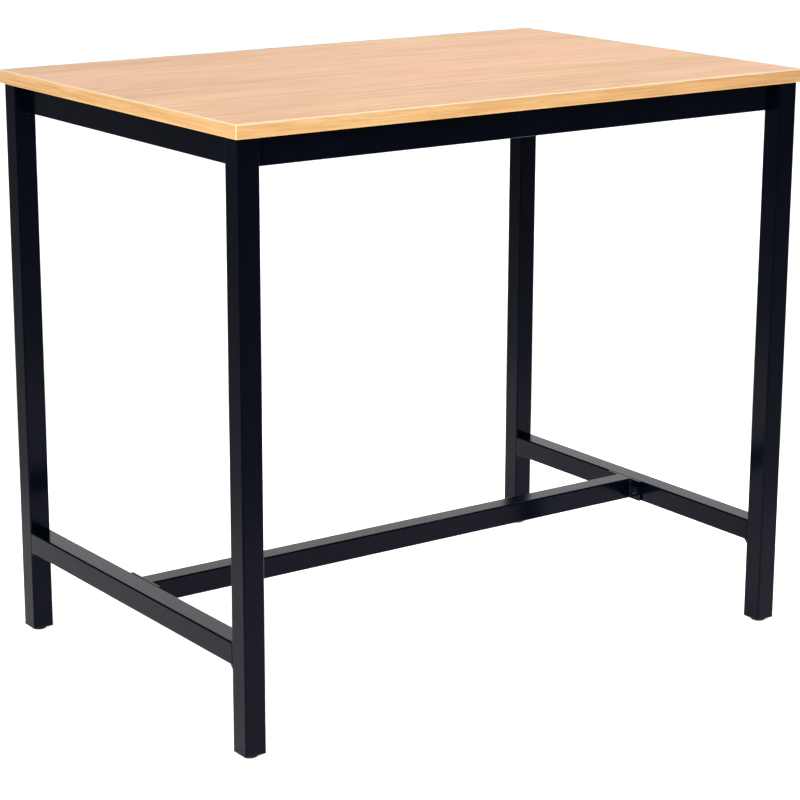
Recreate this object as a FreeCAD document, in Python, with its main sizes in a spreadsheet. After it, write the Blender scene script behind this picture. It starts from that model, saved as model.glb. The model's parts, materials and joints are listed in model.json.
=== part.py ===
import FreeCAD, Part
import os
import re
import Sketcher

# High table: laminated board on a black square-tube frame with two welded end frames,
# bolted long rails, a bolted foot stretcher and four screw feet.
# Millimetres, Z up, X along the long side, front at -Y, origin on the floor at the middle.

doc = FreeCAD.newDocument("HighTable")
sheet = doc.addObject("Spreadsheet::Sheet", "Sizes")
Vector = FreeCAD.Vector
Rotation = FreeCAD.Rotation

# Driving sizes
SIZES = {
    # whole table
    "top_length": 1200,
    "top_depth": 800,
    "table_height": 1050,
    "overhang": 8,
    # board
    "core_thickness": 22,
    "laminate_thickness": 0.8,
    "edging_thickness": 2,
    "edging_round": 1.8,
    # legs
    "leg_width": 40,
    "leg_wall": 2,
    "leg_round": 3,
    "leg_inner_round": 1,
    # rails under the board
    "rail_height": 50,
    "rail_thickness": 20,
    "rail_wall": 1.5,
    "rail_round": 2,
    "rail_inner_round": 0.5,
    # low rails and foot stretcher
    "low_rail_top": 196,
    "low_rail_height": 40,
    "low_rail_wall": 2,
    "low_rail_round": 3,
    "low_rail_inner_round": 1,
    "stretcher_width": 40,
    "stretcher_wall": 2,
    "plate_length": 100,
    "plate_thickness": 4,
    "plate_round": 3,
    "plate_bolt_spacing": 72,
    # corner angles that hold the long rails
    "angle_leg": 40,
    "angle_height": 40,
    "angle_thickness": 4,
    "angle_bend": 3,
    "angle_bolt_from_corner": 25,
    "angle_bolt_spacing": 22,
    # bolts of the stretcher
    "big_bolt": 8,
    "big_head_across": 13,
    "big_head_height": 5.3,
    "big_bolt_reach": 12,
    "big_washer": 16,
    "big_washer_thickness": 1.6,
    "big_nut_body": 11,
    "big_nut_collar": 14,
    "big_nut_length": 15,
    # bolts of the corner angles
    "small_bolt": 6,
    "small_head_across": 10,
    "small_head_height": 4,
    "small_bolt_reach": 10,
    "small_washer": 12,
    "small_washer_thickness": 1.6,
    "small_nut_body": 9,
    "small_nut_collar": 11.5,
    "small_nut_length": 13,
    "nut_collar_height": 4,
    # fits of the bolts
    "bolt_hole_clearance": 0.6,
    "thread_clearance": 0.2,
    "nut_hole_clearance": 0.2,
    # lugs and screws under the board
    "lug_width": 30,
    "lug_reach": 26,
    "lug_thickness": 3,
    "lug_round": 6,
    "lug_hole_from_rail": 15,
    "long_lug_spacing": 390,
    "end_lug_spacing": 360,
    "screw": 4.5,
    "screw_length": 19,
    "screw_head": 9,
    "screw_head_height": 2.8,
    "screw_hole_clearance": 0.7,
    "pilot_clearance": 0.1,
    "pilot_spare_depth": 1,
    # weld beads
    "leg_bead": 12,
    "rail_bead": 4,
    "plate_bead": 3,
    # feet
    "pad_diameter": 28,
    "pad_thickness": 5.5,
    "pad_bevel": 1.2,
    "pad_gap": 0.5,
    "insert_flange": 2.5,
    "insert_depth": 26,
    "insert_clearance": 0.2,
    "insert_shell": 2,
    "insert_rib": 2,
    "insert_bush": 15,
    "stud": 8,
    "stud_length": 30,
    "stud_bevel": 1,
    "stud_socket": 3.5,
    "stud_clearance": 0.35,
}

# Places worked out from the driving sizes
PLACES = {
    "board_thickness": "core_thickness + 2 * laminate_thickness",
    "under_board": "table_height - board_thickness",
    "leg_bottom": "pad_thickness + pad_gap + insert_flange",
    "leg_length": "under_board - leg_bottom",
    "outer_x": "top_length / 2 - overhang",
    "outer_y": "top_depth / 2 - overhang",
    "inner_x": "outer_x - leg_width",
    "inner_y": "outer_y - leg_width",
    "rail_bottom": "under_board - rail_height",
    "low_rail_bottom": "low_rail_top - low_rail_height",
    "low_rail_middle": "low_rail_top - low_rail_height / 2",
    "stretcher_length": "2 * inner_x - 2 * plate_thickness",
    "angle_bottom": "rail_bottom + (rail_height - angle_height) / 2",
    "angle_middle": "rail_bottom + rail_height / 2",
    "big_grip": "plate_thickness + big_washer_thickness",
    "small_grip": "angle_thickness + small_washer_thickness",
    "plug_width": "leg_width - 2 * leg_wall - 2 * insert_clearance",
    "core_length": "top_length - 2 * edging_thickness",
    "core_depth": "top_depth - 2 * edging_thickness",
}

for row, (name, value) in enumerate(list(SIZES.items()) + list(PLACES.items()), 1):
    sheet.set("A%d" % row, name)
    sheet.setAlias("B%d" % row, name)
for row, value in enumerate(SIZES.values(), 1):
    sheet.set("B%d" % row, str(value))


def bound(text):
    """The expression with every size name pointing at the sheet."""
    return re.sub(r"[a-z]\w*", lambda m: "Sizes." + m.group(0) if m.group(0) in known else m.group(0), text)


known = set(SIZES) | set(PLACES)
for row, text in enumerate(PLACES.values(), len(SIZES) + 1):
    sheet.set("B%d" % row, "=" + text)
doc.recompute()

NODES = []


def node(thing, label):
    """Marks a document object as a named piece of the table."""
    thing.Label = label
    NODES.append(thing)
    return thing


def place(thing, at, turn=None):
    """Binds the position to the sheet; turn is an axis and an angle in degrees."""
    if turn:
        thing.Placement = FreeCAD.Placement(Vector(), Rotation(Vector(*turn[0]), turn[1]))
    for axis, text in zip("xyz", at):
        thing.setExpression("Placement.Base." + axis, bound(text))
    return thing


# Building blocks for bodies made from sketches

def new_body(name):
    return doc.addObject("PartDesign::Body", name)


def new_sketch(body, plane, offset="0"):
    sketch = body.newObject("Sketcher::SketchObject", body.Name + "_sketch")
    support = next(f for f in body.Origin.OriginFeatures if f.Role == plane)
    sketch.AttachmentSupport = (support, [""])
    sketch.MapMode = "FlatFace"
    if offset != "0":
        sketch.setExpression("AttachmentOffset.Base.z", bound(offset))
    return sketch


def fix_point(sketch, geometry, spot, x, y):
    """Holds a sketch point at x, y from the sketch origin."""
    for kind, text in (("DistanceX", x), ("DistanceY", y)):
        held = sketch.addConstraint(Sketcher.Constraint(kind, -1, 1, geometry, spot, 1.0))
        sketch.setExpression("Constraints[%d]" % held, bound(text))


def rectangle(sketch, width, height, x="0", y="0"):
    corners = [Vector(1, 1), Vector(3, 1), Vector(3, 2), Vector(1, 2)]
    first = sketch.GeometryCount
    for k in range(4):
        sketch.addGeometry(Part.LineSegment(corners[k], corners[(k + 1) % 4]), False)
    for k in range(4):
        sketch.addConstraint(Sketcher.Constraint("Coincident", first + k, 2, first + (k + 1) % 4, 1))
        sketch.addConstraint(Sketcher.Constraint("Vertical" if k % 2 else "Horizontal", first + k))
    fix_point(sketch, first, 1, x, y)
    for kind, line, text in (("DistanceX", first, width), ("DistanceY", first + 1, height)):
        held = sketch.addConstraint(Sketcher.Constraint(kind, line, 1, line, 2, 1.0))
        sketch.setExpression("Constraints[%d]" % held, bound(text))


def circle(sketch, diameter, x, y):
    k = sketch.addGeometry(Part.Circle(Vector(1, 1), Vector(0, 0, 1), 1), False)
    held = sketch.addConstraint(Sketcher.Constraint("Diameter", k, 2.0))
    sketch.setExpression("Constraints[%d]" % held, bound(diameter))
    fix_point(sketch, k, 3, x, y)


def polygon(sketch, points):
    """Closed outline through points given as pairs of expressions."""
    first = sketch.GeometryCount
    many = len(points)
    rough = [Vector(1 + k, 1 + k * k % 5) for k in range(many)]
    for k in range(many):
        sketch.addGeometry(Part.LineSegment(rough[k], rough[(k + 1) % many]), False)
    for k in range(many):
        sketch.addConstraint(Sketcher.Constraint("Coincident", first + k, 2, first + (k + 1) % many, 1))
    for k, (x, y) in enumerate(points):
        fix_point(sketch, first + k, 1, x, y)


def extrude(body, kind, sketch, length, back=False):
    feature = body.newObject("PartDesign::" + kind, body.Name + "_" + kind.lower())
    feature.Profile = sketch
    feature.setExpression("Length", bound(length))
    feature.Reversed = back
    sketch.Visibility = False
    doc.recompute()
    return feature


def round_edges(body, base, size, wanted, kind="Fillet"):
    """Rounds or bevels the edges that the test picks."""
    names = ["Edge%d" % k for k, edge in enumerate(base.Shape.Edges, 1) if wanted(edge)]
    feature = body.newObject("PartDesign::" + kind, body.Name + "_" + kind.lower())
    feature.Base = (base, names)
    feature.setExpression("Radius" if kind == "Fillet" else "Size", bound(size))
    doc.recompute()
    return feature


def along(edge, axis):
    """True for a straight edge that runs along the axis 0, 1 or 2."""
    if not isinstance(edge.Curve, Part.Line):
        return False
    return abs(abs(edge.Curve.Direction[axis]) - 1) < 1e-6


def from_axis(edge, axis, middle):
    """Distance of an edge from a line along the axis through the middle point."""
    gap = edge.CenterOfMass - middle
    gap[axis] = 0
    return gap.Length


def tube(label, plane, width, height, wall, outer_round, inner_round, length, at):
    """Rolled hollow section with rounded corners, from a corner at the given place."""
    body = new_body(label)
    sketch = new_sketch(body, plane)
    rectangle(sketch, width, height)
    rectangle(sketch, "%s - 2 * %s" % (width, wall), "%s - 2 * %s" % (height, wall), wall, wall)
    solid = extrude(body, "Pad", sketch, length, back=plane == "XZ_Plane")
    run = ("YZ_Plane", "XZ_Plane", "XY_Plane").index(plane)
    for size, outside in ((outer_round, True), (inner_round, False)):
        box = solid.Shape.BoundBox
        middle = box.Center
        runs = sorted((e for e in solid.Shape.Edges if along(e, run)), key=lambda e: from_axis(e, run, middle))
        reach = from_axis(runs[-1 if outside else 0], run, middle)
        solid = round_edges(body, solid, size, lambda e: along(e, run) and abs(from_axis(e, run, middle) - reach) < 0.01)
    place(body, at)
    return node(body, label)


# Board: chipboard core, laminate on both faces and plastic edging

def lug_spots():
    """Side of the frame and the place of each lug along its rail."""
    for side in ("front", "back"):
        for step in ("- long_lug_spacing", "0", "long_lug_spacing"):
            yield side, step
    for side in ("left", "right"):
        for step in ("- end_lug_spacing / 2", "end_lug_spacing / 2"):
            yield side, step


def screw_spot(side, step):
    """Screw position in the table's own X and Y."""
    if side in ("front", "back"):
        sign = "-" if side == "front" else ""
        return step, "%s(inner_y - lug_hole_from_rail)" % sign
    sign = "-" if side == "left" else ""
    return "%s(inner_x - lug_hole_from_rail)" % sign, step


def sheet_piece(label, thickness, bottom, holes=None):
    """Flat board or laminate cut to the core size, with screw holes from below where asked."""
    body = new_body(label)
    sketch = new_sketch(body, "XY_Plane")
    rectangle(sketch, "core_length", "core_depth")
    solid = extrude(body, "Pad", sketch, thickness)
    if holes:
        drill = new_sketch(body, "XY_Plane")
        for side, step in lug_spots():
            x, y = screw_spot(side, step)
            circle(drill, "screw + pilot_clearance", "core_length / 2 + " + x, "core_depth / 2 + " + y)
        extrude(body, "Pocket", drill, holes, back=True)
    place(body, ("-core_length / 2", "-core_depth / 2", bottom))
    return node(body, label)


pilot = "screw_length - lug_thickness + pilot_spare_depth"
sheet_piece("core_board", "core_thickness", "under_board + laminate_thickness", pilot + " - laminate_thickness")
sheet_piece("top_laminate", "laminate_thickness", "table_height - laminate_thickness")
sheet_piece("backing_laminate", "laminate_thickness", "under_board", "laminate_thickness")


def edge_strip(label, length, run, at, outer):
    """Plastic edging with its outer arrises rounded; outer gives the outward side of each axis."""
    body = new_body(label)
    sketch = new_sketch(body, "XY_Plane")
    size = (length, "edging_thickness") if run == 0 else ("edging_thickness", length)
    rectangle(sketch, *size)
    solid = extrude(body, "Pad", sketch, "board_thickness")
    box = solid.Shape.BoundBox
    low = (box.XMin, box.YMin, box.ZMin)
    high = (box.XMax, box.YMax, box.ZMax)

    def on_outside(edge):
        """An edge between two outward faces of the table."""
        centre = edge.CenterOfMass
        faces = 0
        for axis in range(3):
            for limit, wanted in ((low, -1), (high, 1)):
                faces += wanted in outer[axis] and abs(centre[axis] - limit[axis]) < 0.01
        return faces == 2

    round_edges(body, solid, "edging_round", on_outside)
    place(body, at)
    return node(body, label)


BOTH = (-1, 1)
edge_strip("edging_front", "top_length", 0, ("-top_length / 2", "-top_depth / 2", "under_board"), (BOTH, (-1,), BOTH))
edge_strip("edging_back", "top_length", 0, ("-top_length / 2", "core_depth / 2", "under_board"), (BOTH, (1,), BOTH))
edge_strip("edging_left", "core_depth", 1, ("-top_length / 2", "-core_depth / 2", "under_board"), ((-1,), (), BOTH))
edge_strip("edging_right", "core_depth", 1, ("core_length / 2", "-core_depth / 2", "under_board"), ((1,), (), BOTH))

# Legs and rails of square and flat tube

ENDS = {"left": "-", "right": ""}
SIDES = {"front": "-", "back": ""}
CORNERS = [(side, end) for side in SIDES for end in ENDS]


def corner_x(end):
    return "-outer_x" if end == "left" else "inner_x"


def corner_y(side):
    return "-outer_y" if side == "front" else "inner_y"


for side, end in CORNERS:
    tube("leg_%s_%s" % (side, end), "XY_Plane", "leg_width", "leg_width", "leg_wall", "leg_round",
         "leg_inner_round", "leg_length", (corner_x(end), corner_y(side), "leg_bottom"))

FLAT = ("rail_wall", "rail_round", "rail_inner_round")
for end in ENDS:
    inside = "-inner_x - rail_thickness" if end == "left" else "inner_x"
    tube("upper_end_rail_" + end, "XZ_Plane", "rail_thickness", "rail_height", *FLAT, "2 * inner_y",
         (inside, "-inner_y", "rail_bottom"))


def drilled_tube(body, plane, face, back, depth, holes):
    """Round holes through one wall of a tube."""
    before = body.Shape.Volume
    drill = new_sketch(body, plane, face)
    for diameter, x, y in holes:
        circle(drill, diameter, x, y)
    extrude(body, "Pocket", drill, depth, back)
    if body.Shape.Volume >= before:
        raise ValueError("no hole was cut in " + body.Label)


for side in SIDES:
    inside = "-inner_y - rail_thickness" if side == "front" else "inner_y"
    rail = tube("long_rail_" + side, "YZ_Plane", "rail_thickness", "rail_height", *FLAT, "2 * inner_x",
                ("-inner_x", inside, "rail_bottom"))
    holes = []
    for x in ("angle_bolt_from_corner", "2 * inner_x - angle_bolt_from_corner"):
        for sign in "-+":
            middle = "rail_height / 2 %s angle_bolt_spacing / 2" % sign
            holes.append(("small_nut_body + nut_hole_clearance", x, middle))
    face = "-rail_thickness" if side == "front" else "0"
    drilled_tube(rail, "XZ_Plane", face, side == "front", "rail_wall", holes)

LOW = ("low_rail_wall", "low_rail_round", "low_rail_inner_round")
for end in ENDS:
    inside = "-outer_x" if end == "left" else "inner_x"
    rail = tube("lower_end_rail_" + end, "XZ_Plane", "leg_width", "low_rail_height", *LOW, "2 * inner_y",
                (inside, "-inner_y", "low_rail_bottom"))
    holes = [("big_nut_body + nut_hole_clearance", "inner_y %s plate_bolt_spacing / 2" % sign, "low_rail_height / 2")
             for sign in "-+"]
    face = "leg_width" if end == "left" else "0"
    drilled_tube(rail, "YZ_Plane", face, end == "right", "low_rail_wall", holes)

tube("stretcher_tube", "YZ_Plane", "stretcher_width", "low_rail_height", "stretcher_wall", "low_rail_round",
     "low_rail_inner_round", "stretcher_length",
     ("-stretcher_length / 2", "-stretcher_width / 2", "low_rail_bottom"))

for end, sign in ENDS.items():
    body = new_body("stretcher_plate_" + end)
    sketch = new_sketch(body, "YZ_Plane")
    rectangle(sketch, "plate_length", "low_rail_height")
    for side in "-+":
        circle(sketch, "big_bolt + bolt_hole_clearance", "plate_length / 2 %s plate_bolt_spacing / 2" % side,
               "low_rail_height / 2")
    solid = extrude(body, "Pad", sketch, "plate_thickness")
    round_edges(body, solid, "plate_round", lambda e: along(e, 0))
    inside = "-inner_x" if end == "left" else "inner_x - plate_thickness"
    place(body, (inside, "-plate_length / 2", "low_rail_bottom"))
    node(body, "stretcher_plate_" + end)

# Corner angles between the end frames and the long rails

TURNS = {
    ("front", "left"): None,
    ("front", "right"): ((0, 1, 0), 180),
    ("back", "left"): ((1, 0, 0), 180),
    ("back", "right"): ((0, 0, 1), 180),
}
for side, end in CORNERS:
    label = "corner_angle_%s_%s" % (side, end)
    body = new_body(label)
    sketch = new_sketch(body, "XY_Plane")
    polygon(sketch, [("0", "0"), ("angle_leg", "0"), ("angle_leg", "angle_thickness"),
                     ("angle_thickness", "angle_thickness"), ("angle_thickness", "angle_leg"), ("0", "angle_leg")])
    solid = extrude(body, "Pad", sketch, "angle_height")
    bend = solid.Shape.BoundBox
    thick = float(sheet.angle_thickness)
    corner = [Vector(bend.XMin, bend.YMin, bend.Center.z),
              Vector(bend.XMin + thick, bend.YMin + thick, bend.Center.z)]
    solid = round_edges(body, solid, "angle_bend",
                        lambda e: any((e.CenterOfMass - spot).Length < 0.01 for spot in corner))
    drill = new_sketch(body, "XZ_Plane")
    for sign in "-+":
        circle(drill, "small_bolt + bolt_hole_clearance", "angle_bolt_from_corner",
               "angle_height / 2 %s angle_bolt_spacing / 2" % sign)
    before = body.Shape.Volume
    extrude(body, "Pocket", drill, "angle_thickness")
    if body.Shape.Volume >= before:
        raise ValueError("no hole was cut in " + label)
    foot = "angle_bottom" if side + end in ("frontleft", "backright") else "angle_bottom + angle_height"
    place(body, (ENDS[end] + "inner_x", SIDES[side] + "inner_y", foot), TURNS[side, end])
    node(body, label)

# Bolts, washers and rivet nuts, each set along its own axis from the face of the tube wall

def cylinder(name, diameter, height, bottom="0"):
    thing = doc.addObject("Part::Cylinder", name)
    thing.setExpression("Radius", bound("(%s) / 2" % diameter))
    thing.setExpression("Height", bound(height))
    thing.setExpression("Placement.Base.z", bound(bottom))
    return thing


def joined(name, things):
    thing = doc.addObject("Part::MultiFuse", name)
    thing.Shapes = things
    thing.Refine = True
    return thing


def cut(name, base, tool):
    thing = doc.addObject("Part::Cut", name)
    thing.Base = base
    thing.Tool = tool
    return thing


def hex_bolt(size, grip, at, turn):
    head = doc.addObject("Part::Prism", "head")
    head.Polygon = 6
    head.setExpression("Circumradius", bound("%s_head_across / sqrt(3)" % size))
    head.setExpression("Height", bound("%s_head_height" % size))
    head.setExpression("Placement.Base.z", bound(grip))
    reach = "%s_bolt_reach" % size
    shank = cylinder("shank", size + "_bolt", "%s + %s" % (grip, reach), "-" + reach)
    return place(joined("bolt", [head, shank]), at, turn)


def washer(size, grip, at, turn):
    thick = size + "_washer_thickness"
    disc = cylinder("disc", size + "_washer", thick, "%s - %s" % (grip, thick))
    hole = cylinder("hole", "%s_bolt + bolt_hole_clearance" % size, thick, "%s - %s" % (grip, thick))
    return place(cut("washer", disc, hole), at, turn)


def rivet_nut(size, wall, at, turn):
    length = size + "_nut_length"
    barrel = cylinder("barrel", size + "_nut_body", length, "-" + length)
    collar = cylinder("collar", size + "_nut_collar", "nut_collar_height", "-%s - nut_collar_height" % wall)
    bore = cylinder("bore", "%s_bolt + thread_clearance" % size, length, "-" + length)
    return place(cut("rivet_nut", joined("nut_blank", [barrel, collar]), bore), at, turn)


def group(label, things):
    """Identical loose pieces that share one name."""
    thing = doc.addObject("Part::Compound", label)
    thing.Links = things
    return node(thing, label)


TO_PLUS_X = ((0, 1, 0), 90)
TO_MINUS_X = ((0, 1, 0), -90)
TO_PLUS_Y = ((1, 0, 0), -90)
TO_MINUS_Y = ((1, 0, 0), 90)

stretcher_spots = []
for end, turn in (("left", TO_PLUS_X), ("right", TO_MINUS_X)):
    for sign in "-+":
        stretcher_spots.append(((ENDS[end] + "inner_x", sign + "plate_bolt_spacing / 2", "low_rail_middle"), turn))
group("stretcher_bolts", [hex_bolt("big", "big_grip", *spot) for spot in stretcher_spots])
group("stretcher_washers", [washer("big", "big_grip", *spot) for spot in stretcher_spots])
group("stretcher_rivet_nuts", [rivet_nut("big", "low_rail_wall", *spot) for spot in stretcher_spots])

rail_spots = []
for side, turn in (("front", TO_PLUS_Y), ("back", TO_MINUS_Y)):
    for end in ENDS:
        across = "%s(inner_x - angle_bolt_from_corner)" % ENDS[end]
        for sign in "-+":
            up = "angle_middle %s angle_bolt_spacing / 2" % sign
            rail_spots.append(((across, SIDES[side] + "inner_y", up), turn))
group("rail_bolts", [hex_bolt("small", "small_grip", *spot) for spot in rail_spots])
group("rail_washers", [washer("small", "small_grip", *spot) for spot in rail_spots])
group("rail_rivet_nuts", [rivet_nut("small", "rail_wall", *spot) for spot in rail_spots])

# Lugs welded to the rails, and the screws that go up through them into the board

LUG_TURN = {"front": 0, "right": 90, "back": 180, "left": -90}


def lug(side, step):
    body = new_body("lug")
    sketch = new_sketch(body, "XY_Plane")
    rectangle(sketch, "lug_width", "lug_reach")
    circle(sketch, "screw + screw_hole_clearance", "lug_width / 2", "lug_hole_from_rail")
    solid = extrude(body, "Pad", sketch, "lug_thickness")
    far = solid.Shape.BoundBox.YMax
    round_edges(body, solid, "lug_round", lambda e: along(e, 2) and abs(e.CenterOfMass.y - far) < 0.01)
    rail = {"front": (step + " - lug_width / 2", "-inner_y"), "back": (step + " + lug_width / 2", "inner_y"),
            "left": ("-inner_x", step + " + lug_width / 2"), "right": ("inner_x", step + " - lug_width / 2")}
    return place(body, rail[side] + ("under_board - lug_thickness",), ((0, 0, 1), LUG_TURN[side]))


def wood_screw(side, step):
    """Pan head, shank and point."""
    head = cylinder("head", "screw_head", "screw_head_height", "-screw_head_height")
    point = "screw"
    shank = cylinder("shank", "screw", "screw_length - %s" % point)
    tip = doc.addObject("Part::Cone", "tip")
    tip.setExpression("Radius1", bound("screw / 2"))
    tip.setExpression("Radius2", bound("screw / 10"))
    tip.setExpression("Height", bound(point))
    tip.setExpression("Placement.Base.z", bound("screw_length - " + point))
    return place(joined("screw", [head, shank, tip]), screw_spot(side, step) + ("under_board - lug_thickness",))


for wanted in ("front", "back", "left", "right"):
    group("fixing_lugs_" + wanted, [lug(side, step) for side, step in lug_spots() if side == wanted])
group("board_screws", [wood_screw(side, step) for side, step in lug_spots()])

# Weld beads, triangular with a hollow face

def bead(plane, size, length, at, turn=None):
    """Bead in the corner of two faces that leave along the first and second sketch axis."""
    body = new_body("bead")
    sketch = new_sketch(body, plane)
    hollow = "0.44 * %s" % size
    polygon(sketch, [("0", "0"), (size, "0"), (hollow, hollow), ("0", size)])
    extrude(body, "Pad", sketch, length, back=plane == "XZ_Plane")
    return place(body, at, turn)


HALF_X = ((1, 0, 0), 180)
HALF_Y = ((0, 1, 0), 180)
HALF_Z = ((0, 0, 1), 180)
for end in ENDS:
    beads = []
    flat = "leg_width - 2 * leg_round"
    start = "-outer_x + leg_round" if end == "left" else "inner_x + leg_round"
    thin = "rail_thickness - 2 * rail_round"
    thin_start = "-inner_x - rail_thickness + rail_round" if end == "left" else "inner_x + rail_round"
    for size, long, begin, height in (("leg_bead", flat, start, "low_rail_bottom"),
                                      ("rail_bead", thin, thin_start, "rail_bottom")):
        beads.append(bead("YZ_Plane", size, long, ("%s + %s" % (begin, long), "-inner_y", height),
                          ((0, 1, 0), 180)))
        beads.append(bead("YZ_Plane", size, long, (begin, "inner_y", height), HALF_X))
    group("end_frame_welds_" + end, beads)

beads = []
tall = "low_rail_height - 2 * low_rail_round"
low = "low_rail_bottom + low_rail_round"
edge_x = "stretcher_length / 2"
edge_y = "stretcher_width / 2"
high = "%s + %s" % (low, tall)
beads.append(bead("XY_Plane", "plate_bead", tall, ("-" + edge_x, edge_y, low)))
beads.append(bead("XY_Plane", "plate_bead", tall, (edge_x, "-" + edge_y, low), HALF_Z))
beads.append(bead("XY_Plane", "plate_bead", tall, ("-" + edge_x, "-" + edge_y, high), HALF_X))
beads.append(bead("XY_Plane", "plate_bead", tall, (edge_x, edge_y, high), HALF_Y))
group("stretcher_welds", beads)

# Feet: ribbed plastic insert in the tube end, threaded stud and round glide pad

for side, end in CORNERS:
    where = "%s_%s" % (side, end)
    middle_x = "%s(outer_x - leg_width / 2)" % ENDS[end]
    middle_y = "%s(outer_y - leg_width / 2)" % SIDES[side]

    body = new_body("foot_insert_" + where)
    sketch = new_sketch(body, "XY_Plane")
    rectangle(sketch, "leg_width", "leg_width")
    solid = extrude(body, "Pad", sketch, "insert_flange")
    round_edges(body, solid, "leg_round", lambda e: along(e, 2))
    edge = "leg_wall + insert_clearance"
    inner = "plug_width - 2 * insert_shell"
    sketch = new_sketch(body, "XY_Plane", "insert_flange")
    rectangle(sketch, "plug_width", "plug_width", edge, edge)
    rectangle(sketch, inner, inner, edge + " + insert_shell", edge + " + insert_shell")
    extrude(body, "Pad", sketch, "insert_depth")
    middle = "leg_width / 2 - insert_rib / 2"
    for size in ((inner, "insert_rib", edge + " + insert_shell", middle),
                 ("insert_rib", inner, middle, edge + " + insert_shell")):
        sketch = new_sketch(body, "XY_Plane", "insert_flange")
        rectangle(sketch, *size)
        extrude(body, "Pad", sketch, "insert_depth")
    sketch = new_sketch(body, "XY_Plane", "insert_flange")
    circle(sketch, "insert_bush", "leg_width / 2", "leg_width / 2")
    extrude(body, "Pad", sketch, "insert_depth")
    sketch = new_sketch(body, "XY_Plane")
    circle(sketch, "stud + 2 * stud_clearance", "leg_width / 2", "leg_width / 2")
    extrude(body, "Pocket", sketch, "insert_flange + insert_depth", back=True)
    place(body, (corner_x(end), corner_y(side), "leg_bottom - insert_flange"))
    node(body, "foot_insert_" + where)

    body = new_body("foot_pad_" + where)
    sketch = new_sketch(body, "XZ_Plane")
    polygon(sketch, [("0", "0"), ("pad_diameter / 2 - pad_bevel", "0"), ("pad_diameter / 2", "pad_bevel"),
                     ("pad_diameter / 2", "pad_thickness - pad_bevel"),
                     ("pad_diameter / 2 - pad_bevel", "pad_thickness"), ("stud / 2", "pad_thickness"),
                     ("stud / 2", "pad_thickness - stud_socket"), ("0", "pad_thickness - stud_socket")])
    disc = body.newObject("PartDesign::Revolution", "disc")
    disc.Profile = sketch
    disc.ReferenceAxis = (sketch, ["V_Axis"])
    disc.Angle = 360
    sketch.Visibility = False
    doc.recompute()
    place(body, (middle_x, middle_y, "0"))
    node(body, "foot_pad_" + where)

    body = new_body("foot_stud_" + where)
    sketch = new_sketch(body, "XY_Plane")
    circle(sketch, "stud", "0", "0")
    solid = extrude(body, "Pad", sketch, "stud_length")
    crown = solid.Shape.BoundBox.ZMax
    round_edges(body, solid, "stud_bevel", lambda e: abs(e.CenterOfMass.z - crown) < 0.01, "Chamfer")
    place(body, (middle_x, middle_y, "pad_thickness - stud_socket"))
    node(body, "foot_stud_" + where)

# Check every object and write one file for each named piece

doc.recompute()
for thing in doc.Objects:
    if "Invalid" in thing.State or "Error" in thing.State:
        raise ValueError("not built: " + thing.Label)
os.makedirs("parts", exist_ok=True)
for thing in NODES:
    shape = thing.Shape
    if shape.isNull() or not shape.isValid():
        raise ValueError("bad shape: " + thing.Label)
    shape.exportStep("parts/%s.step" % thing.Label)
    print("%-28s %3d solids %10.1f mm3" % (thing.Label, len(shape.Solids), shape.Volume))
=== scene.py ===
# %% [markdown]
# # A high table in a white studio
# The table is a laminated board on a glossy black frame of square tube. Its shapes come from the
# CAD model, so this lesson is about looks: a printed beech grain, a powder coat that mirrors the
# room, and the small pieces that CAD leaves plain, such as weld ripples, screw threads and bolt
# heads. The CAD pieces are loaded first, because everything else takes its size and place from
# them.

import json
import math

import bpy
import numpy as np
from mathutils import Matrix, Vector


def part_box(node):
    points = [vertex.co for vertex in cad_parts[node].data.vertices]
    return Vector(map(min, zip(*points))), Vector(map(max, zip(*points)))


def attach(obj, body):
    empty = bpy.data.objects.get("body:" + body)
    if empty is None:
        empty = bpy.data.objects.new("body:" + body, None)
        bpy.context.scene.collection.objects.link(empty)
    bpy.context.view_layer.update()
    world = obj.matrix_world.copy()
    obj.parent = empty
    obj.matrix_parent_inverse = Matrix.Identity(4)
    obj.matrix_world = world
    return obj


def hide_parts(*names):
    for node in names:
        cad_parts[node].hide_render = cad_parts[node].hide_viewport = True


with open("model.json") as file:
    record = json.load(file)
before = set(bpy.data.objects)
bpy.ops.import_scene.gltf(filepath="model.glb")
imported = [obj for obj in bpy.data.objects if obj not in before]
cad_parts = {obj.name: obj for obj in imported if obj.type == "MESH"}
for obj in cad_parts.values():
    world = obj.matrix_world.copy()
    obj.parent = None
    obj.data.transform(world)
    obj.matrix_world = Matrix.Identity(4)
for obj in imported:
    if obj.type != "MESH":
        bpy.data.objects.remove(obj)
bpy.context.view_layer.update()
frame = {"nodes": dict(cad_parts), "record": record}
nodes = frame["nodes"]

# %% [markdown]
# ## Camera
# The photograph was taken with a long lens from the table's near left corner, a little above its
# top. The camera's place was fitted to the table's straight edges: a position, a heading, a
# downward tilt and a small roll. It could be turned with three Euler angles or a tracking
# constraint. A matrix is plainer, because its columns are simply the camera's right, up and
# backward directions.

# %% Camera
EYE = Vector((-2.5691, -3.5803, 1.6138))
HEADING, TILT, ROLL = (math.radians(v) for v in (35.621, 14.947, -0.206))
FOCAL_PIXELS = 2463.2
FRAME_PIXELS = 800
SENSOR_MM = 36


def put(name, data):
    """Makes an object that shows the data and links it to the scene."""
    made = bpy.data.objects.new(name, data)
    bpy.context.scene.collection.objects.link(made)
    return made


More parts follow.
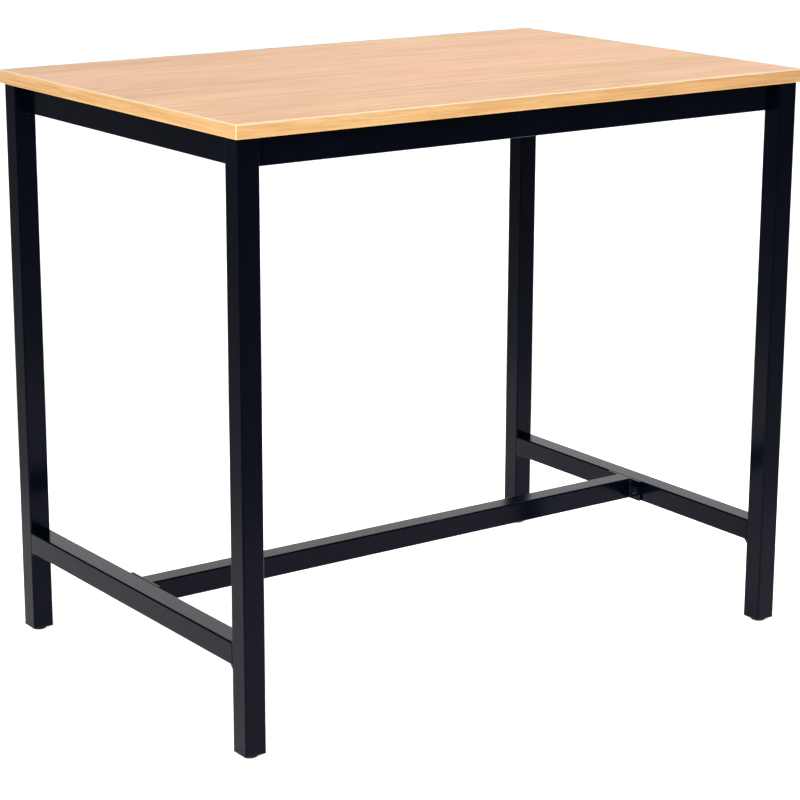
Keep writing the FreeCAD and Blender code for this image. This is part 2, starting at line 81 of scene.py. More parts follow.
forward = Vector((
    math.sin(HEADING) * math.cos(TILT),
    math.cos(HEADING) * math.cos(TILT),
    -math.sin(TILT),
))
level = Vector((math.cos(HEADING), -math.sin(HEADING), 0))
down = forward.cross(level)
right = math.cos(ROLL) * level + math.sin(ROLL) * down
up = right.cross(forward)
lens = bpy.data.cameras.new("camera")
lens.sensor_width = SENSOR_MM
lens.lens = FOCAL_PIXELS / FRAME_PIXELS * SENSOR_MM
camera = put("camera", lens)
facing = Matrix((right, up, -forward)).transposed().to_4x4()
camera.matrix_world = Matrix.Translation(EYE) @ facing
bpy.context.scene.camera = camera
print("lens", round(lens.lens, 1), "mm")

# %% [markdown]
# ## Shader arithmetic
# A finish is a graph of nodes. It could be wired node by node, but then its formula is lost among
# links. Written as arithmetic it reads like the recipe it is, so one small class wraps a socket
# and lets `+`, `-` and `*` add the math nodes, with a number on either side.

# %% Shader arithmetic


class Value:
    """One output socket of a shader graph, with arithmetic that adds math nodes."""

    def __init__(self, graph, socket):
        self.graph, self.socket = graph, socket

    def _math(self, kind, first, second):
        return self.graph.add("ShaderNodeMath", {"operation": kind}, {0: first, 1: second})

    def __add__(self, other):
        return self._math("ADD", self, other)

    def __sub__(self, other):
        return self._math("SUBTRACT", self, other)

    def __rsub__(self, other):
        return self._math("SUBTRACT", other, self)

    def __mul__(self, other):
        return self._math("MULTIPLY", self, other)

    def __abs__(self):
        return self._math("ABSOLUTE", self, 0.0)

    __radd__ = __add__
    __rmul__ = __mul__


print("socket arithmetic ready")

# %% [markdown]
# ## Material graph
# All finishes of the table are one Principled shader with patterns behind its sockets. They could
# be drawn in the node editor, but a script has to give the same result each time. So a second
# class holds one material: one of its methods adds any node, and a few short ones name the nodes
# that come back again and again, such as noise, a smooth ramp and a bump.

# %% Material graph


class Graph:
    """A material's node tree around one Principled shader."""

    def __init__(self, name, **constants):
        self.material = bpy.data.materials.new(name)
        self.material.use_nodes = True
        self.tree = self.material.node_tree
        self.shader = self.tree.nodes["Principled BSDF"]
        self.set(**constants)

    def add(self, kind, settings=None, inputs=None, output=0):
        """Adds any node, sets its options, feeds its inputs and returns one of its outputs."""
        made = self.tree.nodes.new(kind)
        for key, value in (settings or {}).items():
            setattr(made, key, value)
        for key, value in (inputs or {}).items():
            self.feed(made.inputs[key], value)
        return Value(self, made.outputs[output])

    def feed(self, socket, value):
        """Links a value to a socket, or sets the socket to a plain number or colour."""
        if isinstance(value, Value):
            self.tree.links.new(value.socket, socket)
        else:
            socket.default_value = value

    def set(self, **inputs):
        """Feeds the shader's own sockets, named with _ for a space, and returns the material."""
        for socket, value in inputs.items():
            self.feed(self.shader.inputs[socket.replace("_", " ")], value)
        return self.material

    def place(self):
        """X, Y and Z of the shaded point in the object's own metres."""
        coords = self.add("ShaderNodeTexCoord", output="Object")
        return [self.add("ShaderNodeSeparateXYZ", None, {0: coords}, k) for k in range(3)]

    def point(self, x, y, z):
        """Three values joined into one vector."""
        return self.add("ShaderNodeCombineXYZ", None, {0: x, 1: y, 2: z})

    def noise(self, point, scale=1.0, detail=2.0, rough=0.5):
        """Smooth noise around 0.5, with scale waves per metre and finer waves added by detail."""
        return self.add(
            "ShaderNodeTexNoise",
            {"noise_dimensions": "3D"},
            {"Vector": point, "Scale": scale, "Detail": detail, "Roughness": rough},
            "Fac",
        )

    def ramp(self, value, low, high, to_low=0.0, to_high=1.0):
        """Smoothly remaps low..high to to_low..to_high and clamps outside it."""
        return self.add(
            "ShaderNodeMapRange",
            {"interpolation_type": "SMOOTHSTEP"},
            {0: value, 1: low, 2: high, 3: to_low, 4: to_high},
        )

    def mix(self, factor, first, second):
        """Colour that is the first at factor 0 and the second at factor 1."""
        return self.add(
            "ShaderNodeMix", {"data_type": "RGBA"}, {"Factor": factor, 6: first, 7: second}, 2)

    def bump(self, height, strength, distance):
        """Normal that is tilted as if the surface rose by height times distance."""
        return self.add(
            "ShaderNodeBump", None, {"Height": height, "Strength": strength, "Distance": distance})


print("graph methods:", [name for name in vars(Graph) if not name.startswith("_")])

# %% [markdown]
# ## Beech laminate
# The board carries a printed beech pattern under a satin resin skin. Beech has a soft broad
# figure, fine streaks along the grain, countless short dark flecks about two millimetres long,
# and a colour that drifts between pink and yellow. A picture of wood would repeat and blur close
# by. Noise that is stretched along the grain never repeats and stays sharp: the more it is
# stretched, the more thread-like it looks, so each layer is the same noise with its own stretch.

# %% Beech print
ALONG_X, ALONG_Y = 0, 1

# Waves per metre along the grain, across it and in height.
DRIFT = (1.3, 2.5, 1.0)
STREAK = (5, 150, 190)
THREAD = (16, 420, 420)
FLECK = (150, 1300, 1300)
PATCH = (5, 40, 40)
FIGURE_ALONG, HUE_ALONG, HUE_ACROSS = 1.8, 1.6, 1.3

DRIFT_METRES = 0.06
FIGURE_SHARE, STREAK_SHARE, THREAD_SHARE = 0.28, 0.44, 0.28
FLECK_STRENGTH = 0.42
FACE_FIGURE, BAND_FIGURE = 7.0, 40.0


def beech_print(g, run, broad, pink, yellow, deep, fleck):
    """Colour, streaks and flecks of beech whose grain runs along the axis run.

    Each layer is noise of (along, across + drift, height) times its own waves per metre; broad is
    the figure's waves across the grain. The tone is a weighted sum of figure, streaks and threads.
    """
    axes = g.place()
    along = axes.pop(run)
    across, height = axes

    def layer(waves, over, **options):
        return g.noise(
            g.point(along * waves[0], over * waves[1], height * waves[2]), **options)

    wander = across + (layer(DRIFT, across) - 0.5) * DRIFT_METRES
    figure = layer((FIGURE_ALONG, broad, broad), wander, detail=3.0, rough=0.55)
    hue = layer((HUE_ALONG, broad * HUE_ACROSS, broad), wander)
    streak = layer(STREAK, wander, detail=3.0, rough=0.6)
    thread = layer(THREAD, wander)
    speck = g.ramp(layer(FLECK, wander, detail=1.0), 0.60, 0.74)
    patch = g.ramp(layer(PATCH, wander), 0.35, 0.7, 0.35, 1.0)
    light = g.mix(g.ramp(hue, 0.38, 0.62), pink, yellow)
    mixed = figure * FIGURE_SHARE + streak * STREAK_SHARE + thread * THREAD_SHARE
    wood = g.mix(g.ramp(mixed, 0.36, 0.64), light, deep)
    return g.mix(speck * patch * FLECK_STRENGTH, wood, fleck), streak, speck


def grain_relief(g, streak, speck):
    """Normal of the embossed skin, whose height is half the streak plus the fleck."""
    return g.bump(streak * 0.5 + speck, strength=0.06, distance=0.0002)


def laminate():
    """Satin beech face: roughness rises a little on streaks and flecks."""
    g = Graph("beech_face", IOR=1.48, Specular_IOR_Level=0.03)
    colour, streak, speck = beech_print(
        g, ALONG_X, FACE_FIGURE,
        pink=(0.85, 0.525, 0.35, 1),
        yellow=(0.86, 0.585, 0.35, 1),
        deep=(0.67, 0.39, 0.232, 1),
        fleck=(0.40, 0.19, 0.09, 1),
    )
    return g.set(
        Base_Color=colour,
        Roughness=0.42 + streak * 0.12 + speck * 0.05,
        Normal=grain_relief(g, streak, speck),
    )


face = laminate()
print("board face:", face.name)

# %% [markdown]
# ## Edging
# The strip around the board is solid-coloured plastic with a print on its outer face, and its
# arrises are milled round. A pale line is painted along the top, the bottom and the corners: a
# painted highlight for the light that the rounded arrises catch. The line could be a separate thin
# piece or a second material on picked faces. Object coordinates are metres on the real table, so a
# mask does it with no new geometry: it is a mask of height, and of distance from the middle at the
# corners.

# %% Edging print
TOP, UNDER = 1.05, 1.0264
HALF_LENGTH, HALF_DEPTH = 0.6, 0.4
MILLED = 0.0018
# Within this distance of an arris the painted highlight is full; it fades out by MILLED.
HIGHLIGHT_FULL = MILLED * 0.6


def edging(name, run):
    """Printed strip with a painted highlight along its arrises.

    The highlight is full near an arris, the print shows from MILLED on, smooth between.
    """
    g = Graph(name, IOR=1.48, Specular_IOR_Level=0.4)
    colour, streak, speck = beech_print(
        g, run, BAND_FIGURE,
        pink=(0.94, 0.54, 0.24, 1),
        yellow=(0.95, 0.60, 0.27, 1),
        deep=(0.75, 0.40, 0.145, 1),
        fleck=(0.45, 0.21, 0.075, 1),
    )
    x, y, z = g.place()
    # Masks of the painted highlight along the top arris, the bottom arris and the corners; printed
    # is where the print shows instead.
    upper = g.ramp(z, TOP - MILLED, TOP - HIGHLIGHT_FULL)
    lower = 1 - g.ramp(z, UNDER + HIGHLIGHT_FULL, UNDER + MILLED)
    at_end = g.ramp(abs(x), HALF_LENGTH - MILLED, HALF_LENGTH - HIGHLIGHT_FULL)
    at_side = g.ramp(abs(y), HALF_DEPTH - MILLED, HALF_DEPTH - HIGHLIGHT_FULL)
    printed = (1 - upper) * (1 - lower) * (1 - at_end * at_side)
    # Colour of the painted highlight, a little darker on the streaks.
    arris_highlight = g.mix(streak, (0.98, 0.77, 0.49, 1), (0.92, 0.67, 0.38, 1))
    return g.set(
        Base_Color=g.mix(printed, arris_highlight, colour),
        Roughness=0.28 + streak * 0.12 + printed * 0.08,
        Normal=grain_relief(g, streak, speck),
    )


long_band = edging("beech_band_long", ALONG_X)
end_band = edging("beech_band_end", ALONG_Y)
print("edging:", long_band.name, end_band.name)

# %% [markdown]
# ## Chipboard
# The core is pressed wood chips, hidden under laminate and edging. A flat brown would do for what
# the photograph shows, but screw holes and any cut-away view bare it. Chips are small closed
# patches, and a cell pattern gives just that, with a little noise as the dust between them.

# %% Chipboard core
CHIPS_PER_METRE = 420.0
CHIP_NARROW, CHIP_FLAT = 1.6, 2
DUST_PER_METRE = 1500.0


def chipboard():
    """Cells that are flattened in height: pale in a chip's middle and dark towards its border."""
    g = Graph("chipboard", Roughness=0.85)
    x, y, z = g.place()
    chips = g.add(
        "ShaderNodeTexVoronoi",
        {"feature": "F1"},
        {"Vector": g.point(x, y * CHIP_NARROW, z * CHIP_FLAT), "Scale": CHIPS_PER_METRE},
    )
    dust = g.noise(g.point(x, y, z), DUST_PER_METRE)
    shade = g.ramp(chips + dust * 0.4, 0.3, 0.9)
    return g.set(
        Base_Color=g.mix(shade, (0.55, 0.40, 0.25, 1), (0.33, 0.21, 0.11, 1)),
        Normal=g.bump(chips, strength=0.3, distance=0.0006),
    )


core = chipboard()
print("core:", core.name)

# %% [markdown]
# ## Powder coat
# The frame is black powder melted onto steel. It levels into a hard glossy film that mirrors what
# is around it, but never quite flat: a faint orange peel of about two millimetres stays in the
# surface and softens the mirror. A second clear layer could give the gloss. One layer is enough
# here: a low roughness is the gloss, a very shallow bump is the peel, and the reflection is kept
# weak so that the frame stays as black as in the photograph.

# %% Black powder coat
CLOUDS_PER_METRE = 9.0
PEEL_PER_METRE = 520.0
GRIT_PER_METRE = 1900.0


def powder_coat():
    """Near-black blue film: cloudy tone, orange peel as relief, and rare grains of rough grit."""
    g = Graph(
        "black_powder_coat",
        IOR=1.5, Specular_IOR_Level=0.09, Specular_Tint=(0.80, 0.78, 1.0, 1))
    spot = g.point(*g.place())
    cloud = g.noise(spot, CLOUDS_PER_METRE, detail=3.0)
    peel = g.noise(spot, PEEL_PER_METRE, detail=1.5)
    grit = g.ramp(g.noise(spot, GRIT_PER_METRE, detail=1.0), 0.66, 0.8)
    return g.set(
        Base_Color=g.mix(cloud, (0.0004, 0.0010, 0.0034, 1), (0.0010, 0.0022, 0.0062, 1)),
        Roughness=0.13 + cloud * 0.06 + grit * 0.12,
        Normal=g.bump(peel + grit * 0.3, strength=0.035, distance=0.0004),
    )


coat = powder_coat()
print("frame:", coat.name)

# %% [markdown]
# ## Small metal and plastic
# Bolts and washers are blackened steel, hidden nuts, screws and studs are zinc plated, and the
# tube inserts and glide pads are moulded plastic with a spark-eroded grain. Plain colours would
# make them look like toys, because real plating is cloudy and finely scratched. Both metals are
# one recipe with other tones, so one function makes them, and the plastic gets its own.

# %% Steel and plastic
BLOOM_PER_METRE = 160.0
SCRATCHES = (900, 900, 4000)
MOTTLES_PER_METRE = 40.0
GRAIN_PER_METRE = 1400.0


def plated(name, low, high, rough, fine):
    """Metal with a cloudy plating: two tones, a matching roughness and a fine brushed grain."""
    g = Graph(name, Metallic=1.0)
    axes = g.place()
    bloom = g.noise(g.point(*axes), BLOOM_PER_METRE, detail=3.0)
    scratch = g.noise(g.point(*(axis * waves for axis, waves in zip(axes, SCRATCHES))))
    return g.set(
        Base_Color=g.mix(bloom, low, high),
        Roughness=rough + bloom * 0.14 + scratch * 0.06,
        Normal=g.bump(scratch, strength=fine, distance=0.0001),
    )


def moulded():
    """Black plastic whose fine grain is both its relief and its change of roughness."""
    g = Graph("black_plastic", IOR=1.48, Specular_IOR_Level=0.12)
    spot = g.point(*g.place())
    grain = g.noise(spot, GRAIN_PER_METRE)
    mottle = g.noise(spot, MOTTLES_PER_METRE)
    return g.set(
        Base_Color=g.mix(mottle, (0.006, 0.006, 0.007, 1), (0.012, 0.012, 0.013, 1)),
        Roughness=0.42 + grain * 0.16,
        Normal=g.bump(grain, strength=0.12, distance=0.0003),
    )


dark_steel = plated(
    "dark_steel", (0.030, 0.030, 0.034, 1), (0.075, 0.075, 0.082, 1), rough=0.26, fine=0.08)
zinc = plated("zinc_steel", (0.55, 0.56, 0.58, 1), (0.72, 0.73, 0.74, 1), rough=0.24, fine=0.1)
plastic = moulded()
print("small parts:", dark_steel.name, zinc.name, plastic.name)

# %% [markdown]
# ## Dressing the CAD pieces
# Each CAD piece takes the finish that its record slot names. They could be dressed one by one,
# but the record already says what each is made of, so a table from slot to finish is shorter and
# misses none. The edging is the exception: the two end strips need their grain along the other
# axis.

# %% Dress the CAD pieces
FINISH = {
    "chipboard": core,
    "beech_laminate": face,
    "beech_edging": long_band,
    "black_powder_coat": coat,
    "dark_steel": dark_steel,
    "zinc_steel": zinc,
    "black_plastic": plastic,
}
END_STRIPS = ("edging_left", "edging_right")
for part in frame["record"]["subparts"]:
    end_strip = part["node"] in END_STRIPS
    finish = end_band if end_strip else FINISH[part["material_slot"]]
    mesh = nodes[part["node"]].data
    mesh.materials.clear()
    mesh.materials.append(finish)

# %% [markdown]
# ## A skin over rings
# Every extra piece here is a stack of closed rings: a thread, a bolt, a screw or a weld bead.
# Such pieces could be modelled by hand or with modifiers, but their formulas are short. One
# function turns an array of rings into a mesh. Counting vertices row by row makes the faces plain
# index arithmetic, and the sign of the enclosed volume tells whether the faces look outward.

# %% Rings to mesh


def ring_faces(rows, columns):
    """Quads between neighbouring rings, column k to k + 1 and back to 0 at the end."""
    ring, k = np.meshgrid(np.arange(rows - 1), np.arange(columns), indexing="ij")
    here = ring * columns
    ahead = (k + 1) % columns
    quads = [here + k, here + ahead, here + columns + ahead, here + columns + k]
    return np.stack(quads, -1).reshape(-1, 4)


def volume(points, quads):
    """Enclosed volume: corner . (corner x corner) over both triangles of each quad, over 6."""
    a, b, c, d = (points[quads[:, k]] for k in range(4))
    return float(np.sum(a * np.cross(b, c)) + np.sum(a * np.cross(c, d))) / 6


def closed_stack(stack):
    """Points and outward faces of one stack of rings (rows, columns, 3), capped at both ends."""
    rows, columns, _ = stack.shape
    points = stack.reshape(-1, 3)
    quads = ring_faces(rows, columns)
    ends = [np.arange(columns)[::-1], (rows - 1) * columns + np.arange(columns)]
    if volume(points - points.mean(0), quads) < 0:
        quads, ends = quads[:, ::-1], [end[::-1] for end in ends]
    return points, [*quads, *ends]


def skin(name, stacks, finish, body, node, sharp=32.0):
    """One piece from stacks of rings, in place of a CAD node; edges over sharp degrees show."""
    points, faces, first = [], [], 0
    for stack in stacks:
        corners, shell = closed_stack(stack)
        faces += [(face_corners + first).tolist() for face_corners in shell]
        points.append(corners)
        first += len(corners)
    mesh = bpy.data.meshes.new(name)
    mesh.from_pydata(np.concatenate(points).tolist(), [], faces)
    mesh.polygons.foreach_set("use_smooth", np.ones(len(mesh.polygons), bool))
    mesh.set_sharp_from_angle(angle=math.radians(sharp))
    mesh.materials.append(finish)
    piece = put(name, mesh)
    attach(piece, body)
    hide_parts(node)
    print(name, len(mesh.vertices), "vertices,", len(stacks), "solids")


print("faces of a skin with 3 rings of 8:", len(ring_faces(3, 8)) + 2)

# %% [markdown]
# ## Screw feet
# Each foot is a glide pad on an M8 stud. When a foot is screwed out, the thread shows between pad
# and insert, so it is modelled and not only bumped. It could be a profile swept along a helix. A
# height map is simpler: the radius at height z and angle a is the crest radius minus a triangle
# wave of z / pitch - a / full turn, and that one line is the whole helix.

# %% Threaded studs
PITCH = 0.00125
THREAD_DEPTH = 0.61 * PITCH
ROWS_PER_PITCH = 6
STUD_SIDES = 40
TIP_HEIGHT, TIP_DEPTH = 0.001, 0.0008
TURN = np.linspace(0, 2 * np.pi, STUD_SIDES, endpoint=False)


def threaded_stud(low, high):
    """Rings from the box's low to its high corner.

    The crest lies at the box's own radius, the root one thread depth deeper, and the tip tapers.
    """
    centre = (np.array(low) + np.array(high)) / 2
    crest = (high[0] - low[0]) / 2
    heights = np.arange(low[2], high[2] - 1e-9, PITCH / ROWS_PER_PITCH)
    z, a = np.meshgrid(np.append(heights, high[2]), TURN, indexing="ij")
    wave = np.abs(2 * ((z / PITCH - a / (2 * np.pi)) % 1.0) - 1)
    taper = np.clip((high[2] - z) / TIP_HEIGHT, 0, 1) * TIP_DEPTH - TIP_DEPTH
    radius = crest - THREAD_DEPTH * wave + taper
    return np.stack([centre[0] + radius * np.cos(a), centre[1] + radius * np.sin(a), z], -1)


for corner in ("front_left", "front_right", "back_left", "back_right"):
    node = "foot_stud_" + corner
    stud = threaded_stud(*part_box(node))
    skin("threaded_stud_" + corner, [stud], zinc, "foot_" + corner, node, sharp=60)

# %% [markdown]
# ## Hexagon bolts
# A turned hexagon head has a chamfer that cuts its corners in curves. A cone and a prism could be
# cut with a boolean, which leaves uneven faces. In polar terms it is two formulas: the flats lie
# at apothem / cos(angle from the middle of a flat), and the chamfer is a cone, so each corner
# drops by its own extra radius times the cone's slope. The same rings then step in to the shank.

# %% Hexagon bolt
SIDES = 72
ANGLE = np.linspace(0, 2 * np.pi, SIDES, endpoint=False)
HEX = 1 / np.cos((ANGLE + np.pi / 6) % (np.pi / 3) - np.pi / 6)
CHAMFER_SLOPE = math.tan(math.radians(30))
CROWN_SHARE, DISH_SHARE, DISH_DEPTH = 0.95, 0.55, 0.0003


def hex_bolt(base, axis, across, head, shank, reach):
    """Rings of a bolt: base is the middle of the head's seat, axis points out of the head.

    They go from the dished middle of the head over its crown and chamfered flats to the seat, then
    in to the shank and along it.
    """
    out = np.array(axis, float)
    side = np.cross(out, (0, 0, 1))
    lift = np.cross(side, out)
    apothem = across / 2
    flats = apothem * HEX
    crown = head - (flats - CROWN_SHARE * apothem) * CHAMFER_SLOPE
    profile = [
        (DISH_SHARE * apothem, head - DISH_DEPTH),
        (CROWN_SHARE * apothem, head),
        (flats, crown),
        (flats, 0),
        (shank, 0),
        (shank, -reach),
    ]
    radius, height = (np.stack([np.broadcast_to(p[k], SIDES) for p in profile]) for k in (0, 1))
    round_axis = np.cos(ANGLE)[:, None] * side + np.sin(ANGLE)[:, None] * lift
    return np.array(base) + radius[..., None] * round_axis + height[..., None] * out


print("corner over flat:", round(HEX.max(), 4))

# %% [markdown]
# ## Bolts in place
# Two bolts at each end hold the foot stretcher's plates to the low end rails, and two in each
# corner go through an angle of the end frame into a long rail. They could be placed by hand or by
# an array modifier. The table is symmetrical, so signs of -1 and 1 on one bolt's place give all
# the others. The grip is the plate or angle plus the washer, from the tube's face to the seat of
# the head, and it is the same for both sizes.

# %% Bolts in place
BOTH = (-1, 1)
INNER_X, INNER_Y = 0.552, 0.352
LOW_MIDDLE, RAIL_MIDDLE = 0.176, 1.0014
GRIP = 0.0056
PLATE_BOLT_OUT = 0.036
RAIL_BOLT_IN, RAIL_BOLT_RISE = 0.025, 0.011
BIG = {"across": 0.013, "head": 0.0053, "shank": 0.004, "reach": 0.0176}
SMALL = {"across": 0.010, "head": 0.004, "shank": 0.003, "reach": 0.0156}

plate_bolts = [
    hex_bolt((s * (INNER_X - GRIP), t * PLATE_BOLT_OUT, LOW_MIDDLE), (-s, 0, 0), **BIG)
    for s in BOTH for t in BOTH
]
rail_bolts = [
    hex_bolt(
        (s * (INNER_X - RAIL_BOLT_IN), t * (INNER_Y - GRIP), RAIL_MIDDLE + u * RAIL_BOLT_RISE),
        (0, -t, 0), **SMALL)
    for s in BOTH for t in BOTH for u in BOTH
]
skin("hex_bolts_stretcher", plate_bolts, dark_steel, "table", "stretcher_bolts")
skin("hex_bolts_rail", rail_bolts, dark_steel, "table", "rail_bolts")

# %% [markdown]
# ## Board screws
# From below, the board hangs on lugs with pan-head screws. The head is a flat dome, and the
# driver's cross is pressed into it. A cross could be cut out with a boolean, but a dent is only a
# height: the dome's height at a radius and angle minus a depth where the point lies in either
# wing of the cross, with the walls sloped by a smooth step. So the whole head stays one grid.

# %% Pan-head screws
DOME_ROWS, DOME_MIDDLE = 26, 0.03
WING_WIDTH, WING_LENGTH, WING_DEPTH = (0.0003, 0.0006), (0.0016, 0.0025), 0.0014
POINT_HEIGHT, POINT_RADIUS = 0.004, 0.0004


def smooth(low, high, value):
    """Smooth step: t * t * (3 - 2 t), where t is the value's share of the way from low to high."""
    t = np.clip((value - low) / (high - low), 0, 1)
    return t * t * (3 - 2 * t)


def wing(width, length):
    """1 inside a wing of the cross and 0 outside: one smooth step down in each direction."""
    return (1 - smooth(*WING_WIDTH, width)) * (1 - smooth(*WING_LENGTH, length))


def pan_screw(x, y, seat=1.0234, head=0.0028, radius=0.0045, shank=0.00225, reach=0.019):
    """Rings from the middle of the head over its rim to the seat, then up the pointed shank.

    The dome is head * (1 - 0.1 share^2 - 0.45 share^8), where share is the part of the radius.
    """
    r, a = np.meshgrid(radius * np.linspace(DOME_MIDDLE, 1, DOME_ROWS), ANGLE, indexing="ij")
    u, v = np.abs(r * np.cos(a)), np.abs(r * np.sin(a))
    share = r / radius
    cross = np.maximum(wing(u, v), wing(v, u))
    drop = head * (1 - 0.1 * share ** 2 - 0.45 * share ** 8) - WING_DEPTH * cross
    shaft = np.array([
        (radius, 0.0),
        (shank, 0.0),
        (shank, -reach + POINT_HEIGHT),
        (POINT_RADIUS, -reach),
    ])
    r = np.concatenate([r, np.repeat(shaft[:, :1], SIDES, 1)])
    drop = np.concatenate([drop, np.repeat(shaft[:, 1:], SIDES, 1)])
    a = np.broadcast_to(ANGLE, r.shape)
    return np.stack([x + r * np.cos(a), y + r * np.sin(a), seat - drop], -1)


LONG_LUGS_X, LONG_LUG_Y = (-0.39, 0.0, 0.39), 0.337
END_LUG_X, END_LUG_Y = 0.537, 0.18
pan_screws = [pan_screw(x, t * LONG_LUG_Y) for x in LONG_LUGS_X for t in BOTH]
pan_screws += [pan_screw(s * END_LUG_X, t * END_LUG_Y) for s in BOTH for t in BOTH]
skin("pan_head_screws", pan_screws, zinc, "table", "board_screws", sharp=40)

# %% [markdown]
# ## Weld beads
# A weld is a row of small puddles, each frozen over the last, so it shows curved ripples. A bump
# would show them from near, but not in the outline, where the bead under the low rail is seen. So
# the bead is a profile carried along its run: a slightly hollow curve between the two faces, cos
# and sin of a quarter turn raised to a power just over two. Its size swells and shrinks along the
# run, with a lag in the middle of the curve that bends the ripples.

# %% Weld bead
PROFILE_POINTS = 11
QUARTER = np.linspace(0, np.pi / 2, PROFILE_POINTS)
RIPPLE, ROWS_PER_RIPPLE = 0.0026, 6
RIPPLE_LAG, RIPPLE_SWELL = 0.35, 0.06
END_SHARE, END_LEAST = 0.05, 0.6
HOLLOW = 2.1


def bead(corner, first, second, run, size, length):
    """Rings along run from corner; first and second are the directions of the two welded faces.

    A ring reaches size * cos(a)^2.1 along the first face and size * sin(a)^2.1 along the second,
    and closes in the corner. The size follows a cosine of the length in ripples and shrinks at the
    ends.
    """
    first, second, run = (np.array(v, float) for v in (first, second, run))
    t = np.linspace(0, 1, int(length / RIPPLE * ROWS_PER_RIPPLE) + 1)[:, None]
    a = np.append(QUARTER, 0)[None, :]
    phase = t * length / RIPPLE - RIPPLE_LAG * np.sin(2 * a)
    wave = 1 - RIPPLE_SWELL + RIPPLE_SWELL * np.cos(2 * np.pi * phase)
    swell = size * wave * np.clip(np.minimum(t, 1 - t) / END_SHARE, END_LEAST, 1) ** 0.5
    reach = np.stack([np.cos(a) ** HOLLOW, np.sin(a) ** HOLLOW])
    reach[:, :, -1] = 0
    spread = reach[0][..., None] * first + reach[1][..., None] * second
    return np.array(corner) + swell[..., None] * spread + (t * length)[..., None] * run


print("ripples in a centimetre:", round(0.01 / RIPPLE, 1))

# %% [markdown]
# ## Welds in place
# The end frames are welded where the low rails and the thin upper rails meet the legs, and the
# stretcher where its tube meets its end plates. Under a rail the bead lies in the corner with the
# leg, a little shorter than the rail is wide. At the stretcher it stands beside the tube. Each
# bead could be an object of its own, but a frame's beads are one CAD node, so they are one mesh.

# %% Welds in place
OUTER_X, RAIL = 0.592, 0.020
LOW_BOTTOM, RAIL_BOTTOM = 0.156, 0.9764
LOW_INSET, LOW_SIZE, LOW_RUN = 0.0012, 0.0092, 0.0376
THIN_INSET, THIN_SIZE, THIN_RUN = 0.002, 0.0039, 0.016
PLATE_FACE, TUBE_HALF, PLATE_START = 0.548, 0.020, 0.159
PLATE_SIZE, PLATE_RUN = 0.0029, 0.034
ALONG, DOWN, UPWARD = (1, 0, 0), (0, 0, -1), (0, 0, 1)

ENDS = (("left", -OUTER_X, -INNER_X - RAIL), ("right", INNER_X, INNER_X))

for end, low_face, thin_face in ENDS:
    seams = (
        (low_face + LOW_INSET, LOW_BOTTOM, LOW_SIZE, LOW_RUN),
        (thin_face + THIN_INSET, RAIL_BOTTOM, THIN_SIZE, THIN_RUN),
    )
    beads = [
        bead((start, side * INNER_Y, bottom), (0, -side, 0), DOWN, ALONG, size, length)
        for side in BOTH for start, bottom, size, length in seams
    ]
    node = "end_frame_welds_" + end
    skin("weld_beads_" + end, beads, coat, "table", node, sharp=60)
plate_beads = [
    bead((s * PLATE_FACE, t * TUBE_HALF, PLATE_START), (-s, 0, 0), (0, t, 0), UPWARD,
         PLATE_SIZE, PLATE_RUN)
    for s in BOTH for t in BOTH
]
skin(
    "weld_beads_stretcher", plate_beads, coat, "table",
    "stretcher_welds", sharp=60)

# %% [markdown]
# ## Studio floor
# The photograph is a catalogue picture on pure white. Such pictures are taken on a light table, a
# white sheet lit from below, so that no shadow stays. The floor could be made white by stronger
# lamps alone, but they would burn out the board. So the floor itself glows, in a round pool about
# the feet: full up to about a metre from the middle and gone before two metres.

# %% Floor
FLOOR_HALF = 40
SQUARE = ((-1, -1), (1, -1), (1, 1), (-1, 1))
SHEET_CLOUDS = 0.6
GLOW_FULL, GLOW_GONE = 1.2, 3.0
GLOW_STRENGTH = 0.74


def light_table():
    """White sheet whose glow falls smoothly with the squared distance from the middle."""
    g = Graph(
        "white_floor",
        Roughness=0.9, Specular_IOR_Level=0.1, Emission_Strength=GLOW_STRENGTH)
    x, y, z = g.place()
    glow = g.ramp(x * x + y * y, GLOW_FULL, GLOW_GONE, 1.0, 0.0)
    cloud = g.noise(g.point(x, y, z), SHEET_CLOUDS)
    return g.set(
        Base_Color=g.mix(cloud, (0.91, 0.91, 0.91, 1), (0.93, 0.93, 0.93, 1)),
        Emission_Color=g.mix(glow, (0, 0, 0, 1), (1, 1, 1, 1)),
    )


floor_mesh = bpy.data.meshes.new("floor")
floor_corners = [(FLOOR_HALF * s, FLOOR_HALF * t, 0) for s, t in SQUARE]
floor_mesh.from_pydata(floor_corners, [], [(0, 1, 2, 3)])
floor_mesh.materials.append(light_table())
floor = put("floor", floor_mesh)
print("floor:", 2 * FLOOR_HALF, "m wide")

# %% [markdown]
# ## Lamps and sky
# A black gloss frame shows its surroundings more than itself. A plain bright sky would be
# simpler, but it would turn the whole frame grey. So the room is kept dim and the light is
# pooled: one soft lamp overhead, one from the front for the board's edges, two over the floor
# behind, a wide panel that the upper faces of the rails mirror, and a small one that draws a line
# along the rounded arrises. The legs then mirror bright floor near their feet and dim floor
# further up, which gives them their fade from grey to black.

# %% Lamps and sky


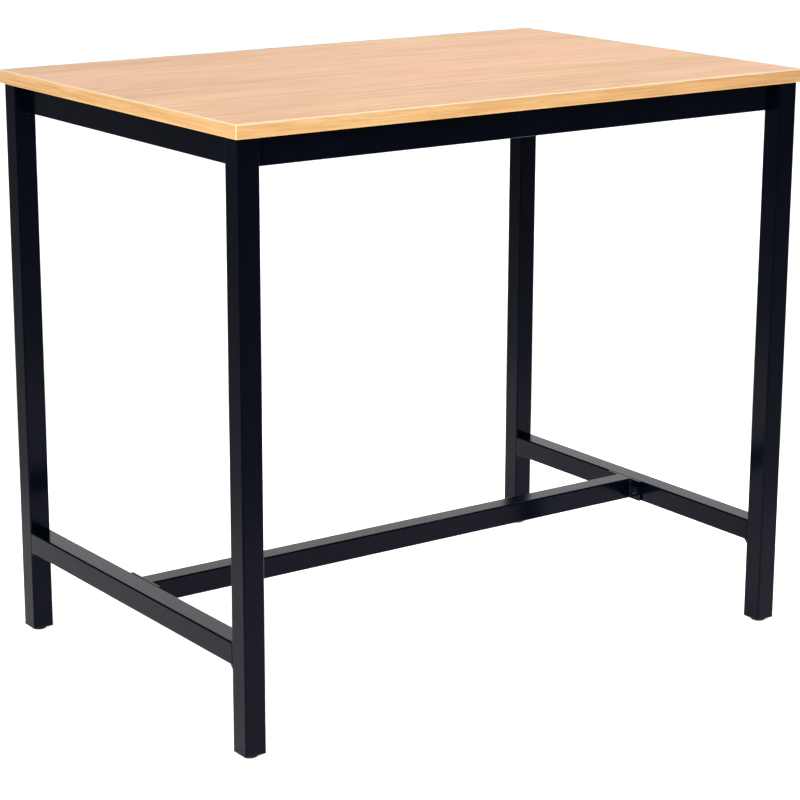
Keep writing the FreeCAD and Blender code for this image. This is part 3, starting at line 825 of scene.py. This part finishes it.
def aimed(name, kind, at, aim, power):
    """Light that looks from at towards aim."""
    light = bpy.data.lights.new(name, kind)
    light.energy = power
    lamp = put(name, light)
    lamp.location = at
    lamp.rotation_euler = (Vector(aim) - Vector(at)).to_track_quat("-Z", "Y").to_euler()
    return light


def pool(name, at, aim, power, radius, soft, blend):
    """Round pool of light.

    The cone's half angle is atan(radius / throw), and soft is the lamp's own radius.
    """
    light = aimed(name, "SPOT", at, aim, power)
    light.spot_size = 2 * math.atan(radius / (Vector(aim) - Vector(at)).length)
    light.spot_blend, light.shadow_soft_size = blend, soft


def panel(name, at, aim, power, width, height):
    """Flat rectangle that shines towards aim."""
    light = aimed(name, "AREA", at, aim, power)
    light.shape = "RECTANGLE"
    light.size, light.size_y = width, height


pool("overhead", (0.6, 0.0, 9.0), (0.5, -0.2, 0.0), 1325, radius=2.9, soft=3.0, blend=0.8)
pool("front", (-6.4, -4.7, 4.2), (0, 0, 0.7), 3050, radius=2.2, soft=1.4, blend=0.7)
pool("backdrop_near", (3.0, 4.4, 10.0), (3.0, 4.4, 0.0), 5000, radius=5.0, soft=1.5, blend=0.8)
pool("backdrop_far", (8.0, 11.2, 12.0), (8.0, 11.2, 0.0), 7400, radius=7.4, soft=2.0, blend=0.8)
panel("back_panel", (6.4, 8.8, 3.4), (0.0, 0.0, 0.6), 250, width=12.0, height=5.2)
panel("rim_panel", (3.0, -1.2, 5.2), (0.0, 0.0, 0.6), 110, width=0.5, height=1.0)

SKY_COLOUR, SKY_STRENGTH = (0.94, 0.97, 1.0, 1), 0.19
sky = bpy.data.worlds.new("sky")
bpy.context.scene.world = sky
sky.use_nodes = True
backdrop = sky.node_tree.nodes["Background"]
backdrop.inputs["Color"].default_value = SKY_COLOUR
backdrop.inputs["Strength"].default_value = SKY_STRENGTH
bpy.context.scene.view_settings.view_transform = "Standard"
print("lamps:", len(bpy.data.lights))

# %% [markdown]
